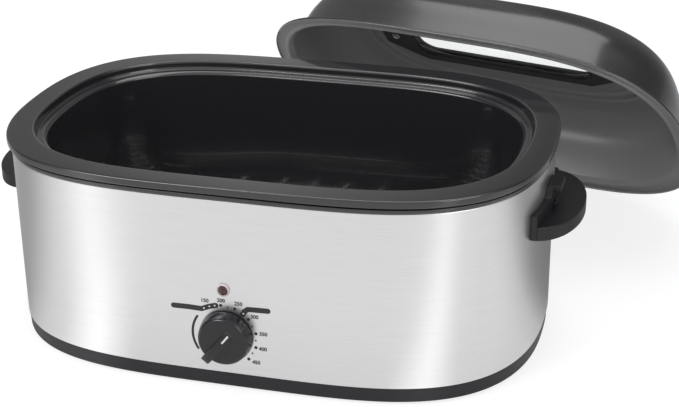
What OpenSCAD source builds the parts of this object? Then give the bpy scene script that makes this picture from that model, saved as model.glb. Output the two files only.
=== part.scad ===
// Electric roaster oven, 25 litre class, with its lid taken off and stood on
// its long edge behind it. Millimetres, +Z up, front of the roaster to -Y.
// Origin: on the worktop, in the middle of the whole set, lid included.

/* [Outline] */
// length of the pan's rolled rim, the longest outline of the roaster
rim_l = 530; // [440:1:600]
// depth of the pan's rolled rim, front to back
rim_d = 356; // [300:1:420]
// height of the rim's flat top above the wrap's upper edge
rim_rise = 14; // [13:0.5:30]
// squareness of the outline along its length
sq_x = 3.9; // [2.5:0.1:6]
// squareness of the outline along its depth
sq_y = 2.45; // [2:0.05:6]
// points round every outline
outline_n = 60; // [48:4:96]
// gap between pieces that only stand beside each other
gap = 0.3; // [0.2:0.05:0.6]

/* [Feet and base] */
// height of the rubber feet below the floor plate
foot_h = 6; // [4:0.5:10]
// radius of a rubber foot
foot_r = 10; // [7:0.5:14]
// distance of the feet from the centre along the length
foot_x = 176; // [140:1:200]
// distance of the feet from the centre along the depth
foot_y = 112; // [80:1:130]
// clearance of the base ring above the worktop
base_clear = 2.5; // [1:0.5:5]
// height at which the steel wrap meets the base ring
wrap_z = 17; // [14:0.5:24]
// wall of the moulded base ring
base_wall = 2.6; // [2:0.2:4]
// how far the foot of the base ring draws in under the wrap
base_tuck = 4.5; // [2:0.5:8]
// thickness of the floor plate
floor_t = 1.2; // [0.8:0.1:2]
// radius of the floor plate's screws
floor_screw_r = 1.9; // [1.5:0.1:3]

/* [Steel wrap] */
// distance of the wrap inside the rim's outline
wrap_in = 4; // [2:0.5:8]
// sheet thickness of the wrap
wrap_t = 0.8; // [0.5:0.1:1.5]
// height of the wrap itself
wrap_h = 172; // [140:1:210]

/* [Well, blanket and heater] */
// distance of the heated well inside the rim's outline
well_in = 31; // [28:0.5:36]
// sheet thickness of the well
well_t = 0.8; // [0.5:0.1:1.5]
// height of the well's floor above the worktop
well_floor = 26; // [22:1:34]
// thickness of the heater bands round the well
band_t = 1.6; // [1:0.1:3]
// height of one heater band
band_h = 24; // [16:1:36]
// height of the lower heater band above the worktop
band_z = 52; // [40:1:70]
// height from one band to the next
band_pitch = 52; // [40:1:70]
// thickness of the insulation blanket
blanket_t = 9; // [5:0.5:12]
// height of the blanket
blanket_h = 136; // [100:1:150]

/* [Rim collar and pan] */
// width of the collar's top land
collar_w = 19; // [14:0.5:22]
// width of the pan's flat rim
rim_w = 25; // [18:0.5:30]
// drop of the pan's rolled edge
rim_lip = 4.5; // [3:0.5:8]
// sheet thickness of the pan
pan_t = 1.4; // [0.8:0.1:2.5]
// depth of the step inside the pan's rim
step_drop = 9; // [5:0.5:14]
// width of the step inside the pan's rim
step_w = 8; // [4:0.5:12]
// how far the pan's wall draws in from the step to its floor
pan_draft = 8; // [4:0.5:16]
// radius of the pan's floor corner
pan_corner = 16; // [8:1:30]
// gap under the pan's floor
pan_under = 5; // [3:0.5:10]

/* [Roasting rack] */
// radius of the rack's border wire
wire_r = 2.4; // [1.5:0.1:4]
// radius of the rack's cross wires
cross_r = 1.5; // [1:0.1:2.5]
// distance of the rack's border inside the pan's floor outline
rack_in = 24; // [16:1:40]
// height of the rack's legs
rack_leg = 12; // [8:1:25]
// number of cross wires
rack_bars = 11; // [7:2:15]
// height of the rack's two lifting loops
rack_loop = 66; // [50:1:90]
// width of a lifting loop
rack_loop_w = 84; // [60:1:110]

/* [Control] */
// place of the knob along the front
knob_x = -6; // [-60:1:60]
// height of the knob's centre
knob_z = 55; // [45:1:90]
// radius of the knob
knob_r = 26; // [18:0.5:32]
// depth of the knob's disc
knob_h = 13; // [8:0.5:20]
// width of the knob's pointer bar
bar_w = 9; // [6:0.5:12]
// reach of the pointer bar from the knob's centre
bar_reach = 31; // [26:0.5:36]
// how far the pointer bar stands proud of the disc
bar_h = 7; // [4:0.5:10]
// angle of the pointer in the off position, from the right, seen from the front
off_angle = 232; // [200:1:260]
// radius of the thermostat shaft
shaft_r = 3; // [2:0.1:4]
// running clearance round the shaft
shaft_fit = 0.05; // [0.02:0.01:0.1]
// place of the indicator along the front
lamp_x = -7; // [-60:1:60]
// height of the indicator's centre
lamp_z = 102; // [90:1:140]
// radius of the indicator lens
lamp_r = 4.6; // [3:0.1:7]
// radius of the indicator's bezel
bezel_r = 6.4; // [5:0.1:9]
// width of the thermostat body
thermo_w = 38; // [28:1:48]
// height of the thermostat body
thermo_h = 30; // [22:1:38]
// depth of the thermostat body
thermo_d = 10; // [7:0.5:12]
// radius of the thermostat's threaded neck
neck_r = 5; // [4.2:0.1:7]

/* [End handles] */
// half length of a handle along the end wall
hand_l = 71; // [50:1:90]
// how far a handle stands out from the wrap
hand_out = 35; // [25:1:50]
// drop from the rim's flat top to a handle's flat top
hand_drop = 57; // [38:1:90]
// depth of a handle's rounded band
hand_band = 14; // [10:0.5:20]
// wall of the moulded handle
hand_wall = 3.2; // [2.4:0.2:5]
// thickness of the handle's wall plate
plate_t = 6; // [4:0.5:9]
// height of the block in the middle of the wall plate
block_h = 21; // [14:0.5:26]
// half length of that block
block_l = 21; // [15:0.5:28]
// depth of the block out from the plate
block_d = 8; // [5:0.5:12]
// radius of the handle screws
hscrew_r = 2.2; // [1.6:0.1:3]
// distance of the handle screws from the middle of the handle
hscrew_y = 46; // [34:1:56]

/* [Lid] */
// distance of the lid's edge inside the pan's rim outline when it is on
lid_in = 17; // [14:0.5:20]
// sheet thickness of the lid
lid_t = 1.2; // [0.8:0.1:2]
// height of the lid's dome
lid_h = 82; // [65:1:105]
// width of the lid's flat flange
lid_flange = 15; // [10:0.5:22]
// half length of the window's opening
win_l = 107; // [80:1:120]
// half width of the window's opening
win_w = 27; // [20:0.5:32]
// thickness of the window glass
glass_t = 3; // [2:0.2:4]
// how far the glass reaches under its frame
glass_lap = 6; // [4:0.5:8]
// half length over the ears of the window frame
ear_l = 151; // [140:1:154]
// half width of the window frame
frame_w = 43; // [38:1:46]
// half width of an ear's end
ear_w = 15; // [11:0.5:20]
// thickness of the inner frame's flange
frame_t = 2.6; // [2:0.2:4]
// distance of the ear screws from the middle
ear_screw = 135; // [128:1:142]
// radius of the ear screws
ear_screw_r = 2; // [1.6:0.1:2.6]
// height of the lid's grip above the roof
grip_h = 34; // [28:1:44]
// width of the grip
grip_w = 26; // [18:1:32]
// thickness of the grip
grip_t = 8; // [6:0.5:12]
// place of the standing lid along the length
lid_x = 139; // [0:1:200]
// distance of the standing lid's opening from the roaster's centre
lid_y = 289; // [180:1:310]
// turn of the standing lid about the vertical
lid_yaw = -15; // [-30:1:20]
// forward lean of the standing lid
lid_lean = 42; // [-5:1:48]

/* [Hidden] */

ax = rim_l / 2;
ay = rim_d / 2;
front_in = ay - wrap_in;             // wrap's outer face at the front
end_in = ax - wrap_in;               // wrap's outer face at the ends
wrap_top = wrap_z + wrap_h;
rim_top = wrap_top + rim_rise;
hand_top = rim_top - hand_drop;
collar_top = rim_top - pan_t - gap;
step_z = rim_top - step_drop;
pan_wall_in = rim_w + step_w;
pan_floor = well_floor + well_t + pan_under;
black = [0.15, 0.15, 0.16];
enamel = [0.2, 0.2, 0.21];
steel = [0.8, 0.8, 0.8];
zinc = [0.66, 0.67, 0.68];

// ---------- outlines and sweeps ----------
function sgnpow(v, p) = sign(v) * pow(abs(v), p);
function oval(a, b, n = outline_n) = [for (i = [0 : n - 1])
    let (t = 360 * (i + 0.5) / n)
    [a * sgnpow(cos(t), 2 / sq_x), b * sgnpow(sin(t), 2 / sq_y)]];
function inset(k) = oval(ax - k, ay - k);
function ring3(p, z) = [for (q = p) [q[0], q[1], z]];

// closed band: a profile of [outline, height] pairs that returns to its start
module band(rings, n = outline_n) {
    m = len(rings);
    polyhedron(
        points = [for (r = rings) each ring3(r[0], r[1])],
        faces = [for (j = [0 : m - 1], i = [0 : n - 1])
            let (a = j * n + i, b = j * n + (i + 1) % n,
                 c = ((j + 1) % m) * n + (i + 1) % n, d = ((j + 1) % m) * n + i)
            each [[a, d, c], [a, c, b]]], convexity = 8);
}
// open stack: the same pairs from one flat end to the other
module stack(rings, n = outline_n) {
    m = len(rings);
    polyhedron(
        points = [for (r = rings) each ring3(r[0], r[1])],
        faces = concat([[for (i = [0 : n - 1]) i]],
            [[for (i = [n - 1 : -1 : 0]) (m - 1) * n + i]],
            [for (j = [0 : m - 2], i = [0 : n - 1])
            let (a = j * n + i, b = j * n + (i + 1) % n,
                 c = (j + 1) * n + (i + 1) % n, d = (j + 1) * n + i)
            each [[a, d, c], [a, c, b]]]), convexity = 8);
}
module oval_wall(outer, inner, z, h) {
    translate([0, 0, z]) linear_extrude(h) difference() {
        polygon(inset(outer));
        polygon(inset(inner));
    }
}
// round wire along points, with n sides
function unit(v) = v / norm(v);
function frame_of(d) = let (s = abs(d[2]) > 0.9 ? [1, 0, 0] : [0, 0, 1],
    u = unit(cross(s, d))) [u, cross(d, u)];
module wire(pts, r, n = 6, closed = false) {
    m = len(pts);
    dirs = [for (i = [0 : m - 1])
        let (p = closed ? pts[(i + m - 1) % m] : pts[max(i - 1, 0)],
             q = closed ? pts[(i + 1) % m] : pts[min(i + 1, m - 1)]) unit(q - p)];
    ringpts = [for (i = [0 : m - 1]) let (f = frame_of(dirs[i]))
        each [for (k = [0 : n - 1]) pts[i] + r * (cos(360 * k / n) * f[0] + sin(360 * k / n) * f[1])]];
    last = closed ? m - 1 : m - 2;
    polyhedron(points = ringpts,
        faces = concat(closed ? [] : [[for (k = [0 : n - 1]) k],
            [for (k = [n - 1 : -1 : 0]) (m - 1) * n + k]],
            [for (j = [0 : last], k = [0 : n - 1])
            let (a = j * n + k, b = j * n + (k + 1) % n,
                 c = ((j + 1) % m) * n + (k + 1) % n, d = ((j + 1) % m) * n + k)
            each [[a, d, c], [a, c, b]]]), convexity = 10);
}
// cylinder along -Y with its back face at y
module front_cyl(x, y, z, r, h, fn = 48) {
    translate([x, y, z]) rotate([90, 0, 0]) cylinder(h = h, r = r, $fn = fn);
}
module screw(r, l, head_r, head_h) {
    union() {
        cylinder(h = head_h, r = head_r, $fn = 24);
        translate([0, 0, head_h]) cylinder(h = l, r = r, $fn = 24);
    }
}

// ---------- base ----------
ledge_z = foot_h + floor_t + gap;
base_in = wrap_in + 0.3;
tongue_in = wrap_in + wrap_t + gap;
module base_ring() color(black) difference() {
    band([
        [inset(base_in + base_tuck + 1.4), base_clear],
        [inset(base_in + base_tuck - 1.2), base_clear + 0.9],
        [inset(base_in + base_tuck * 0.45), base_clear + 5],
        [inset(base_in + 0.3), wrap_z - 4],
        [inset(base_in), wrap_z - gap],
        [inset(tongue_in), wrap_z - gap],
        [inset(tongue_in), wrap_z + 7],
        [inset(tongue_in + base_wall * 0.7), wrap_z + 7],
        [inset(tongue_in + base_wall), wrap_z],
        [inset(tongue_in + base_wall + 1.5), ledge_z + 2.4],
        [inset(base_in + 22), ledge_z + 2.4],
        [inset(base_in + 22), ledge_z],
        [inset(base_in + base_tuck + base_wall + 1), ledge_z],
        [inset(base_in + base_tuck + base_wall + 1), base_clear]]);
    for (p = floor_screw_at) translate([p[0], p[1], ledge_z - 1])
        cylinder(h = 6, r = floor_screw_r + 0.1, $fn = 24);
}
floor_in = base_in + base_tuck + base_wall + 1 + gap * 2;
floor_screw_at = [for (s = [-1, 1],
    q = [[0, ay - base_in - 17], [foot_x * 0.97, ay - base_in - 44], [ax - base_in - 17, 0]])
    each (q[0] == 0 ? [[0, s * q[1]]] : q[1] == 0 ? [[s * q[0], 0]]
        : [[q[0], s * q[1]], [-q[0], s * q[1]]])];
module floor_plate() color(zinc) difference() {
    translate([0, 0, foot_h]) linear_extrude(floor_t) difference() {
        polygon(inset(floor_in));
        for (i = [-4 : 4]) translate([i * 26, 0]) square([8, 90], center = true);
        for (p = floor_screw_at) translate(p) circle(r = floor_screw_r + 0.15, $fn = 24);
        for (sx = [-1, 1], sy = [-1, 1]) translate([sx * foot_x, sy * foot_y]) circle(r = 3.2, $fn = 24);
    }
}
module rubber_feet() color([0.1, 0.1, 0.1]) for (sx = [-1, 1], sy = [-1, 1])
    translate([sx * foot_x, sy * foot_y, 0]) rotate_extrude($fn = 48)
        polygon([[0, 0], [foot_r - 2, 0], [foot_r - 0.8, 0.8], [foot_r, foot_h - 0.1], [3.1, foot_h - 0.1],
            [3.1, foot_h + floor_t + 0.1], [4.6, foot_h + floor_t + 0.1], [2.4, foot_h + floor_t + 4],
                [0, foot_h + floor_t + 4]]);
module floor_screws() color(zinc) for (p = floor_screw_at)
    translate([p[0], p[1], foot_h - 2.1]) screw(floor_screw_r, floor_t + 4.2, floor_screw_r * 2, 2);

// ---------- steel wrap ----------
neck_hole = neck_r + 0.4;
module steel_wrap() color(steel) difference() {
    oval_wall(wrap_in, wrap_in + wrap_t, wrap_z, wrap_h);
    front_cyl(knob_x, -front_in + 6, knob_z, neck_hole, 14, 32);
    front_cyl(lamp_x, -front_in + 6, lamp_z, lamp_r - 0.6, 14, 32);
    translate([gland_x, front_in + 6, gland_z]) rotate([90, 0, 0])
        cylinder(h = 14, r = gland_r + 0.2, $fn = 32);
    for (s = [-1, 1], t = [-1, 1]) translate([s * end_in, t * hscrew_y, hscrew_z]) rotate([0, 90, 0])
        cylinder(h = 30, r = hscrew_r + 0.3, center = true, $fn = 24);
}

// ---------- collar ----------
collar_bot = wrap_top - 6;
module rim_collar() color(enamel) band([
    [inset(wrap_in + wrap_t + gap), collar_bot],
    [inset(wrap_in + wrap_t + gap), wrap_top + gap],
    [inset(wrap_in - 0.6), wrap_top + gap],
    [inset(wrap_in - 1.2), wrap_top + 2],
    [inset(wrap_in - 1.2), wrap_top + 4.4],
    [inset(wrap_in + 0.6), wrap_top + 5.2],
    [inset(wrap_in + 0.6), rim_top - rim_lip - 1.8],
    [inset(pan_t + 1), rim_top - rim_lip - 0.9],
    [inset(pan_t + 1), collar_top - 0.8],
    [inset(pan_t + 2), collar_top],
    [inset(pan_t + 1 + collar_w), collar_top],
    [inset(pan_t + 1 + collar_w), collar_top - 2],
    [inset(wrap_in + wrap_t + 6), collar_top - 4],
    [inset(wrap_in + wrap_t + 3), collar_top - 7],
    [inset(wrap_in + wrap_t + 3), collar_bot]]);

// ---------- well, heater and blanket ----------
well_top = step_z - pan_t - 2;
module heated_well() color(zinc) difference() {
    stack([
        [inset(well_in + 10), well_floor],
        [inset(well_in + 3), well_floor + 2.5],
        [inset(well_in), well_floor + 9],
        [inset(well_in), well_top - well_t],
        [inset(wrap_in + wrap_t + 3 + gap), well_top - well_t],
        [inset(wrap_in + wrap_t + 3 + gap), well_top],
        [inset(well_in + well_t), well_top],
        [inset(well_in + well_t), well_floor + 9.5],
        [inset(well_in + well_t + 3), well_floor + well_t + 2.5],
        [inset(well_in + well_t + 10), well_floor + well_t]]);
    front_cyl(bulb_x, -ay + well_in + 6, bulb_z, bulb_r + 0.4, 12, 24);
}
module heater_bands() color([0.5, 0.45, 0.38]) for (k = [0, 1])
    oval_wall(well_in - 0.2 - band_t, well_in - 0.2, band_z + k * band_pitch, band_h);
clip_t = 1.2;
clip_w = 12;
module heater_clips() color(zinc) for (k = [0, 1], s = [-1, 1], t = [-1, 1])
    let (cx = s * clip_w * 5, y0 = t * (ay - well_in + 0.4 + band_t), z0 = band_z + k * band_pitch)
    translate([cx - clip_w / 2, min(y0, y0 + t * clip_t), z0 - 3]) cube([clip_w, clip_t, band_h + 6]);
blanket_out = well_in - band_t - clip_t * 2 - gap;
module insulation_blanket() color([0.85, 0.82, 0.7]) difference() {
    oval_wall(blanket_out - blanket_t, blanket_out, well_floor + 12, blanket_h);
    // left open round the thermostat and its bulb, the lamp and the leads
    translate([knob_x - thermo_w / 2 - 10, -ay, 0]) cube([thermo_w + 20, 40, knob_z + thermo_h / 2 + 12]);
    translate([knob_x, -ay, 0]) cube([bulb_x + bulb_r * 2 + 3 - knob_x, 40, bulb_z + bulb_r * 2 + 4]);
    translate([lamp_x - 12, -ay, 0]) cube([28, 40, lamp_z + 14]);
    translate([gland_x - 26, ay - 40, 0]) cube([52, 40, gland_z + 24]);
    translate([gland_x - 92, ay - 40, 0]) cube([18, 40, band_z + 3]);
}

// ---------- thermostat ----------
bracket_t = 1.4;
thermo_y = -front_in + wrap_t + 0.9 + bracket_t;
bulb_x = knob_x + 52;
bulb_z = 84;
bulb_r = 2.6;
module thermostat_body() color([0.87, 0.85, 0.8]) difference() {
    union() {
        translate([knob_x - thermo_w / 2, thermo_y + 0.2, knob_z - thermo_h / 2])
            cube([thermo_w, thermo_d, thermo_h]);
        // threaded neck through bracket and wrap
        front_cyl(knob_x, thermo_y + 1, knob_z, neck_r, thermo_y + 1 + front_in + 0.4, 32);
        for (s = [-1, 1]) translate([knob_x + s * (thermo_w / 2 - 7) - 3, thermo_y + thermo_d,
            knob_z - 6]) cube([6, 4, 1]);
    }
    front_cyl(knob_x, thermo_y + thermo_d - 2, knob_z, shaft_r + shaft_fit, 40, 32);
}
module thermostat_bracket() color(zinc) difference() {
    union() {
        translate([knob_x - thermo_w / 2 - 8, thermo_y - bracket_t, knob_z - thermo_h / 2 + 3])
            cube([thermo_w + 16, bracket_t, thermo_h - 6]);
        for (s = [-1, 1]) translate([knob_x + s * (thermo_w / 2 + 7.2) - 0.8, thermo_y - bracket_t,
            knob_z - thermo_h / 2 + 3])
            cube([1.6, thermo_d * 0.8, thermo_h - 6]);
    }
    front_cyl(knob_x, thermo_y + 4, knob_z, neck_r + 0.2, 14, 32);
}
module thermostat_bulb() color([0.75, 0.5, 0.35]) {
    front_cyl(bulb_x, -ay + well_in + 4.2, bulb_z, bulb_r, 8, 24);
    wire([[bulb_x, -ay + well_in - 3, bulb_z], [bulb_x, -ay + well_in - 8, bulb_z - 1],
        [bulb_x - 2, thermo_y + 9, bulb_z - 9], [knob_x + thermo_w / 2 + 12, thermo_y + 8, knob_z + 6],
        [knob_x + thermo_w / 2 + 9, thermo_y + 10, knob_z + 16],
            [knob_x + thermo_w / 2 - 4, thermo_y + 7, knob_z + thermo_h / 2 + 4],
        [knob_x + thermo_w / 2 - 6, thermo_y + 6, knob_z + thermo_h / 2 + 0.2]], 0.9, 6);
}
knob_back = front_in + 0.9;
module control_knob() color(black) translate([knob_x, -knob_back, knob_z]) rotate([90, 0, 0]) difference() {
    union() {
        rotate_extrude($fn = 72) polygon([[neck_r + 1.5, 0], [knob_r - 0.6, 0], [knob_r, 0.8],
            [knob_r - 0.9, knob_h - 2.2], [knob_r - 2.6, knob_h], [0, knob_h + 0.6], [0, 3.5],
                [neck_r + 1.5, 3.5]]);
        rotate([0, 0, off_angle]) difference() {
            translate([-9, -bar_w / 2, knob_h - 3]) cube([bar_reach + 9, bar_w, bar_h + 3]);
            // the bar slopes down to its tip and its back end
            translate([bar_reach, 0, knob_h + bar_h + 1]) rotate([0, 20, 0])
                cube([44, bar_w + 4, 8], center = true);
            translate([-9, 0, knob_h + bar_h + 0.6]) rotate([0, -32, 0])
                cube([16, bar_w + 4, 6], center = true);
        }
    }
    translate([0, 0, -1]) cylinder(h = 10.2, r = shaft_r + 0.02, $fn = 32);
}
module thermostat_shaft() color(zinc) difference() {
    front_cyl(knob_x, thermo_y + thermo_d - 3, knob_z, shaft_r, thermo_y + thermo_d - 3 + knob_back + 9,
        32);
    // flat of the D shaft
    translate([knob_x - 5, -knob_back - 8.9, knob_z + shaft_r - 0.8]) cube([10, 7, 3]);
}

// ---------- indicator ----------
module indicator_bezel() color([0.9, 0.9, 0.9]) translate([lamp_x, -front_in - gap * 0.7, lamp_z])
    rotate([90, 0, 0])
    rotate_extrude($fn = 48) polygon([[lamp_r + 0.1, 0], [bezel_r, 0], [bezel_r - 0.3, 0.8],
        [bezel_r - 1.2, 1.2], [lamp_r + 0.1, 1.2]]);
module indicator_lens() color([0.5, 0.05, 0.05]) translate([lamp_x, -front_in + 5, lamp_z])
    rotate([90, 0, 0])
    rotate_extrude($fn = 48) polygon([[0, 0], [lamp_r - 0.9, 0], [lamp_r - 0.9, 5.2],
        [lamp_r - 0.05, 5.2], [lamp_r - 0.05, 6.4],
        [lamp_r - 0.7, 7.4], [lamp_r * 0.5, 8.1], [0, 8.4]]);
module indicator_lamp() color([0.9, 0.6, 0.4]) {
    front_cyl(lamp_x, -front_in + 15.2, lamp_z, 2.6, 10, 24);
    for (s = [-1, 1]) wire([[lamp_x + s, -front_in + 14.9, lamp_z],
        [lamp_x + s * 1.2, -front_in + 17, lamp_z - 3],
        [lamp_x + s * 3, -front_in + 15, lamp_z - 16], [lamp_x + s * 5, thermo_y + thermo_d + 1.2,
            knob_z + thermo_h / 2 + 8],
        [lamp_x + s * 9, thermo_y + thermo_d - 2, knob_z + thermo_h / 2 + 0.2]], 0.8, 6);
}

// ---------- supply ----------
gland_x = 60;
gland_z = 40;
gland_r = 8;
gland_lip = 2.5;
function wall_y(x) = front_in * pow(1 - pow(abs(x) / end_in, sq_x), 1 / sq_y);
// groove that takes the bowed wall, between its nearest and farthest points
gland_near = wall_y(gland_x + gland_r + gland_lip) - wrap_t - gap;
gland_groove = wall_y(gland_x - gland_r - gland_lip) + gap - gland_near;
module cord_bushing() color(black) translate([gland_x, gland_near - 5, gland_z]) rotate([-90, 0, 0])
    rotate_extrude($fn = 48) polygon([[4, 0], [gland_r + gland_lip, 0], [gland_r + gland_lip, 5],
        [gland_r, 5],
        [gland_r, 5 + gland_groove], [gland_r + gland_lip, 5 + gland_groove],
            [gland_r + 2.1, 7 + gland_groove],
        [gland_r - 0.6, 8.4 + gland_groove], [4, 8.4 + gland_groove]]);
module terminal_block() color([0.93, 0.9, 0.82]) translate([gland_x - 70, ay - 52, ledge_z + 3])
    difference() {
    cube([44, 16, 11]);
    for (i = [0 : 2]) translate([8 + i * 14, 8, 5]) cylinder(h = 8, r = 3, $fn = 24);
}
wire_z = ledge_z + 4.5;
module lead_wires() color([0.6, 0.1, 0.1]) {
    for (i = [0 : 1]) wire([[gland_x - 60 + i * 14, ay - 52.3, wire_z + 3],
        [gland_x - 60 + i * 14, ay - 56, wire_z + 3],
        [gland_x - 60 + i * 12, ay - 66, wire_z],
        [knob_x - 4 + i * 14, 40, wire_z - i * 0.5], [knob_x - 6 + i * 12, -60, wire_z],
            [knob_x - 9 + i * 18, -ay + 40, wire_z],
        [knob_x - 9 + i * 18, -ay + 24, wire_z + 6], [knob_x - 7 + i * 14, thermo_y + thermo_d - 1,
            knob_z - thermo_h / 2 - 0.3]], 1.3, 6);
    for (s = [0, 1]) wire([[gland_x - 60 + s * 14, ay - 35.7, wire_z + 3],
        [gland_x - 60 + s * 14, ay - 32, wire_z + 3],
        [gland_x - 50 + s * 20, ay - 26, wire_z + 5],
        [gland_x - 22 + s * 8, ay - 21, wire_z + 14], [gland_x - 14 + s * 6, ay - 22, gland_z - 2],
            [gland_x - 3 + s * 5, ay - 24, gland_z], [gland_x - 1.6 + s * 3.2, front_in - wrap_t - 5,
            gland_z]], 1.3, 6);
    wire([[gland_x - 66, ay - 44, wire_z + 9.9], [gland_x - 66, ay - 44, wire_z + 11.2],
        [gland_x - 76, ay - 30, wire_z + 13], [gland_x - 82, ay - 18, wire_z + 20],
        [gland_x - 84, ay - well_in + 5, band_z - 7], [gland_x - 84, ay - well_in + 2.2, band_z - 0.2]],
            1.1, 6);
}

// ---------- end handles ----------
hscrew_z = hand_top - 4;
plate_x = end_in + gap;
function dee(l, d, n = 20) = concat([for (i = [0 : n]) let (t = -90 + 180 * i / n)
    [d * pow(abs(cos(t)), 0.62), l * sgnpow(sin(t), 0.9)]]);
function plate_profile() = [
    [-hand_l - 3, hand_top - hand_band + 1], [hand_l + 3, hand_top - hand_band + 1],
    [hand_l + 3, hand_top + 4], [hand_l - 8, hand_top + 5.5], [block_l + 16, hand_top + 10],
    [block_l + 7, hand_top + 15], [block_l, hand_top + block_h], [-block_l, hand_top + block_h],
    [-block_l - 7, hand_top + 15], [-block_l - 16, hand_top + 10], [-hand_l + 8, hand_top + 5.5],
        [-hand_l - 3, hand_top + 4]];
// the end wall bows, so the plate's back is cut to the wrap's outline
module handle_shape() difference() {
    union() {
        translate([plate_x - 16, 0, 0]) rotate([90, 0, 90]) linear_extrude(16 + plate_t)
            polygon(plate_profile());
        translate([plate_x - 14, 0, hand_top - hand_band]) linear_extrude(hand_band) polygon(dee_out(0));
        translate([plate_x, -block_l, hand_top - 2]) cube([plate_t + block_d, block_l * 2, block_h + 2]);
    }
    // back face follows the wrap
    translate([0, 0, 0]) linear_extrude(rim_top + 20) polygon(inset(wrap_in - gap));
    // hollow from below
    translate([plate_x - 14, 0, hand_top - hand_band - 1]) linear_extrude(hand_band - hand_wall + 1)
        intersection() {
            polygon(dee_out(hand_wall));
            translate([14 + plate_t, -200]) square([200, 400]);
        }
    // slot that takes the edge of the lid
    translate([plate_x + plate_t + block_d, -block_l - 6, hand_top - hand_wall - 1])
        cube([3, block_l * 2 + 12, 8]);
    // finger relief in the block
    translate([plate_x + plate_t + block_d + 2, 0, hand_top + 9]) rotate([0, -24, 0])
        cube([8, block_l * 2 + 10, 40], center = true);
    for (t = [-1, 1]) translate([plate_x - 12, t * hscrew_y, hscrew_z]) rotate([0, 90, 0])
        cylinder(h = 12 + plate_t - 1.2, r = hscrew_r + 0.02, $fn = 24);
}
function dee_out(k) = [for (p = dee(hand_l - k, hand_out + 14 - k)) p];
module left_handle() color(black) mirror([1, 0, 0]) handle_shape();
module right_handle() color(black) handle_shape();
module handle_screws() color(zinc) for (s = [-1, 1], t = [-1, 1]) let (x0 = wall_x(hscrew_y) - wrap_t - 3)
    translate([s * x0, t * hscrew_y, hscrew_z]) rotate([0, s * 90, 0])
        screw(hscrew_r, wrap_t + 6, hscrew_r * 1.9, 2.2);
function wall_x(y) = end_in * pow(1 - pow(y / front_in, sq_y), 1 / sq_x);

// ---------- pan ----------
function pan_k(z) = pan_wall_in + pan_draft * (step_z - z) / (step_z - pan_floor);
module cooking_pan() color(enamel) stack([
    [oval_f(pan_k(pan_floor) + pan_corner), pan_floor],
    [oval_f(pan_k(pan_floor) + pan_corner * 0.45), pan_floor + pan_corner * 0.16],
    [oval_f(pan_k(pan_floor) + pan_corner * 0.12), pan_floor + pan_corner * 0.5],
    [inset(pan_k(pan_floor + pan_corner)), pan_floor + pan_corner],
    [inset(pan_wall_in + 1), step_z - pan_t - 2.5],
    [inset(pan_wall_in - 1), step_z - pan_t],
    [inset(rim_w + 0.8), step_z - pan_t],
    [inset(rim_w - pan_t + 0.6), step_z - pan_t + 2],
    [inset(rim_w - pan_t), rim_top - pan_t - 1.4],
    [inset(rim_w - pan_t - 1.2), rim_top - pan_t],
    [inset(pan_t + 0.8), rim_top - pan_t],
    [inset(pan_t), rim_top - pan_t - 0.8],
    [inset(pan_t), rim_top - rim_lip],
    [inset(0.5), rim_top - rim_lip],
    [inset(0), rim_top - rim_lip + 0.8],
    [inset(0), rim_top - 1.6],
    [inset(0.5), rim_top - 0.5],
    [inset(1.6), rim_top],
    [inset(rim_w - 1.6), rim_top],
    [inset(rim_w - 0.4), rim_top - 0.6],
    [inset(rim_w), rim_top - 2],
    [inset(rim_w + 0.6), step_z + 1.8],
    [inset(rim_w + 1.6), step_z],
    [inset(pan_wall_in - 0.4), step_z],
    [inset(pan_wall_in + 1 + pan_t), step_z - 2.5],
    [inset(pan_k(pan_floor + pan_corner) + pan_t), pan_floor + pan_corner],
    [oval_f(pan_k(pan_floor) + pan_corner * 0.12 + pan_t), pan_floor + pan_corner * 0.55],
    [oval_f(pan_k(pan_floor) + pan_corner * 0.45 + pan_t * 0.6), pan_floor + pan_corner * 0.16 + pan_t],
    [oval_f(pan_k(pan_floor) + pan_corner), pan_floor + pan_t]]);
function oval_f(k) = inset(k);

// ---------- rack ----------
rack_k = pan_k(pan_floor) + rack_in;
rack_z = pan_floor + pan_t + gap + wire_r + rack_leg;
function rack_edge(x) = (ay - rack_k) * pow(1 - pow(abs(x) / (ax - rack_k), sq_x), 1 / sq_y);
function rack_side(y) = (ax - rack_k) * pow(1 - pow(abs(y) / (ay - rack_k), sq_y), 1 / sq_x);
module roasting_rack() color([0.75, 0.75, 0.75]) {
    wire(ring3(inset(rack_k), rack_z), wire_r, 6, true);
    for (i = [0 : rack_bars - 1]) let (x = (ax - rack_k) * 0.9 * (2 * i / (rack_bars - 1) - 1))
        translate([x, 0, rack_z + wire_r * 0.4]) rotate([90, 0, 0])
            cylinder(h = rack_edge(x) * 2, r = cross_r, center = true, $fn = 16);
    for (s = [-1, 1]) translate([0, s * 44, rack_z - cross_r * 0.9]) rotate([0, 90, 0])
        cylinder(h = (ax - rack_k) * 1.97, r = cross_r, center = true, $fn = 16);
    // legs
    for (sx = [-1, 1], sy = [-1, 1]) translate([sx * (ax - rack_k) * 0.54,
        sy * (rack_edge((ax - rack_k) * 0.54)), rack_z - rack_leg - wire_r])
        cylinder(h = rack_leg + wire_r, r = wire_r * 0.8, $fn = 16);
    // lifting loops at the ends
    for (s = [-1, 1]) let (x0 = s * rack_side(rack_loop_w / 2), h = rack_loop, w = rack_loop_w / 2)
        wire([[x0, -w, rack_z], [x0, -w, rack_z + h * 0.7], [x0, -w + 6, rack_z + h * 0.93],
            [x0, -w + 18, rack_z + h], [x0, w - 18, rack_z + h],
            [x0, w - 6, rack_z + h * 0.93], [x0, w, rack_z + h * 0.7], [x0, w, rack_z]], wire_r, 8);
}

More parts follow.
